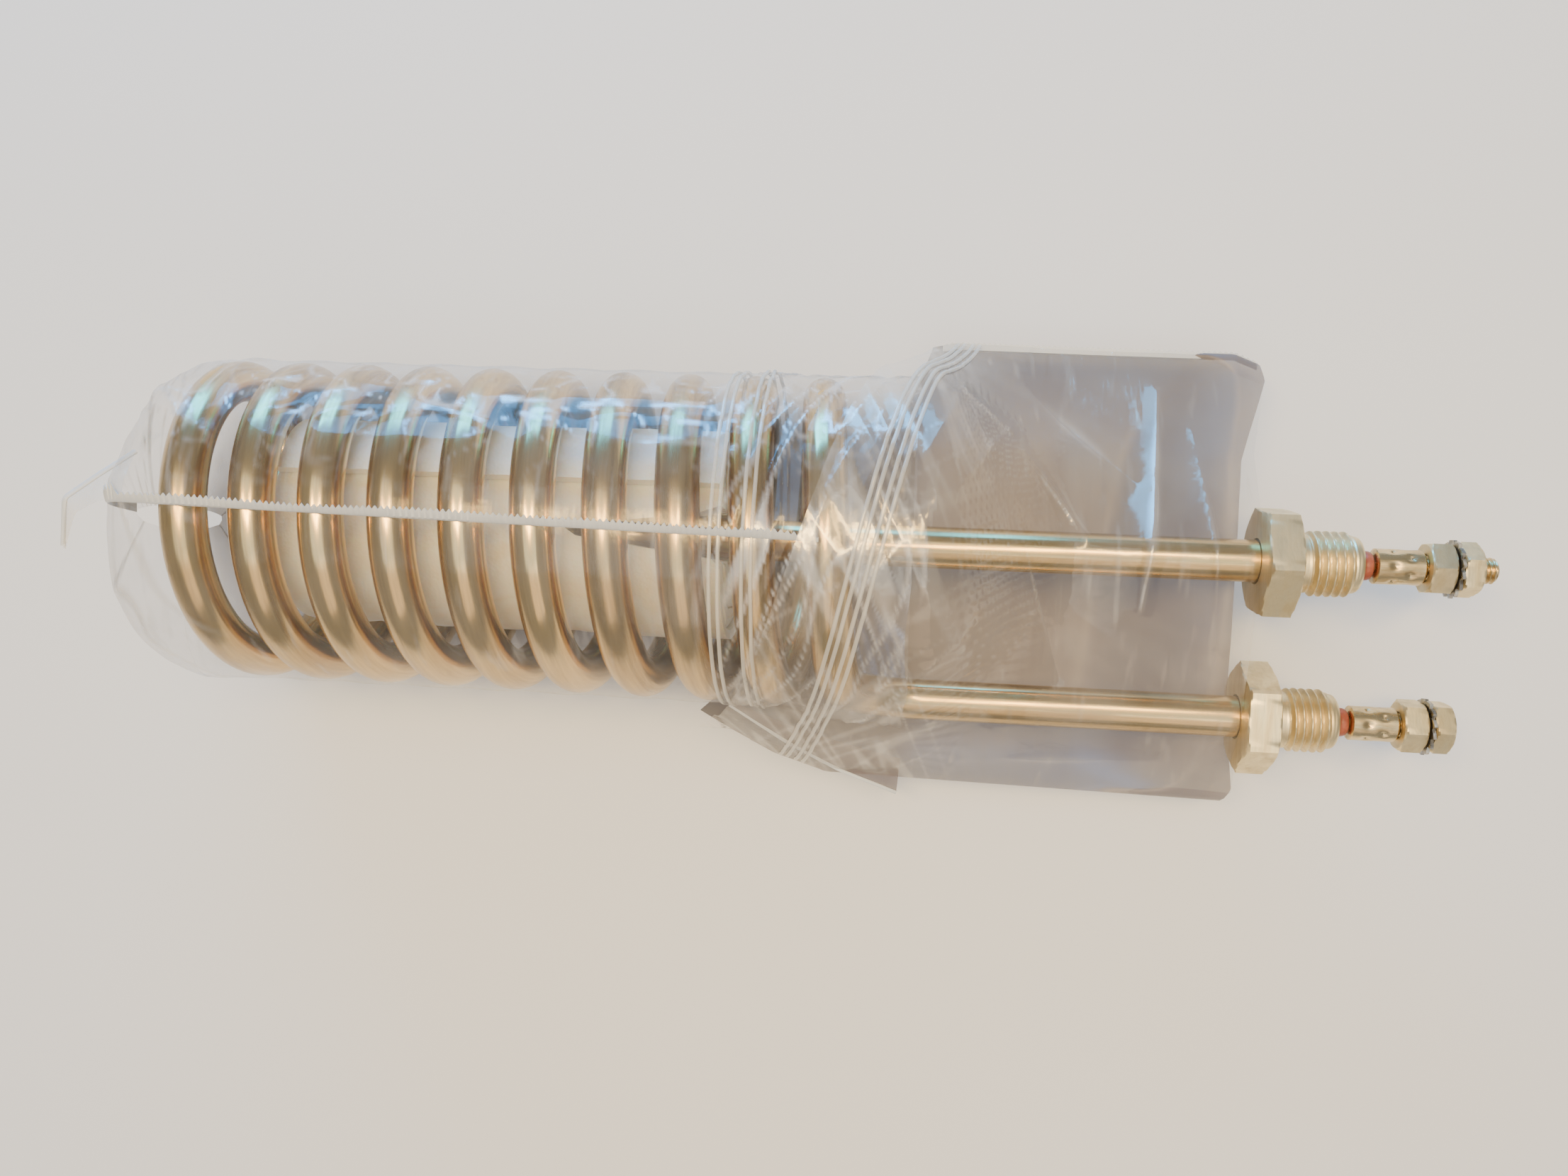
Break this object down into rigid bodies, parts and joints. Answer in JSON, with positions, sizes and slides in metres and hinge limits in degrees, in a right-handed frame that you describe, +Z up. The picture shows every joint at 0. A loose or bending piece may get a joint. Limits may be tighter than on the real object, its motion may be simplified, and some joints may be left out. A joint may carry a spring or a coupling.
{
  "type": "coiled tubular heating element in clear bags",
  "caption": "Coiled tubular heating element with screwed terminals, wrapped in two clear zip bags with a foam roll in its coil.",
  "frame": {"origin": "centre of the object's box, on the surface that it lies on", "axes": "+X along the coil's axis towards the terminals, +Z up from the surface, +Y to the left of +X"},
  "size_m": [0.2608, 0.0926, 0.0691],
  "materials": {
    "stainless_sheath": "satin",
    "magnesia": "matte",
    "resistance_alloy": "satin",
    "nickel_plate": "satin",
    "stud_steel": "satin",
    "zinc_washer": "satin",
    "ceramic_bead": "satin",
    "silicone_seal": "satin",
    "packing_foam": "matte",
    "clear_film": "gloss",
    "zip_strip": "gloss"
  },
  "bodies": {
    "element": {"sheath_tube": "stainless_sheath", "magnesia_core": "magnesia", "resistance_wire": "resistance_alloy", "central_bushing": "nickel_plate", "central_insulator": "ceramic_bead", "central_seal": "silicone_seal", "central_cold_pin": "nickel_plate", "central_stud": "stud_steel", "central_inner_nut": "nickel_plate", "outer_bushing": "nickel_plate", "outer_insulator": "ceramic_bead", "outer_seal": "silicone_seal", "outer_cold_pin": "nickel_plate", "outer_stud": "stud_steel", "outer_inner_nut": "nickel_plate", "foam_roll": "packing_foam", "coil_bag_back_film": "clear_film", "coil_bag_front_film": "clear_film", "coil_bag_back_zip": "zip_strip", "coil_bag_front_zip": "zip_strip", "leg_bag_front_film": "clear_film", "leg_bag_back_film": "clear_film", "leg_bag_front_zip": "zip_strip"},
    "central_washer": {"central_star_washer": "zinc_washer"},
    "central_nut": {"central_outer_nut": "nickel_plate"},
    "outer_washer": {"outer_star_washer": "zinc_washer"},
    "outer_nut": {"outer_outer_nut": "nickel_plate"}
  },
  "joints": [
    {"name": "central_washer_slide", "type": "slide", "parent": "element", "child": "central_washer", "axis": [1, 0, 0], "range_m": [0, 0.004]},
    {"name": "central_nut_spin", "type": "hinge", "parent": "central_washer", "child": "central_nut", "pos_m": [0.1252, 0.00299, 0.03312], "axis": [1, 0, 0], "range_deg": [0, 1810]},
    {"name": "outer_washer_slide", "type": "slide", "parent": "element", "child": "outer_washer", "axis": [1, 0, 0], "range_m": [0, 0.0024]},
    {"name": "outer_nut_spin", "type": "hinge", "parent": "outer_washer", "child": "outer_nut", "pos_m": [0.1252, -0.02715, 0.02459], "axis": [1, 0, 0], "range_deg": [0, 1090]}
  ],
  "couplings": [
    {"joint": "central_nut_spin", "follows": "central_washer_slide", "rad_per_m": 7854},
    {"joint": "outer_nut_spin", "follows": "outer_washer_slide", "rad_per_m": 7854}
  ]
}
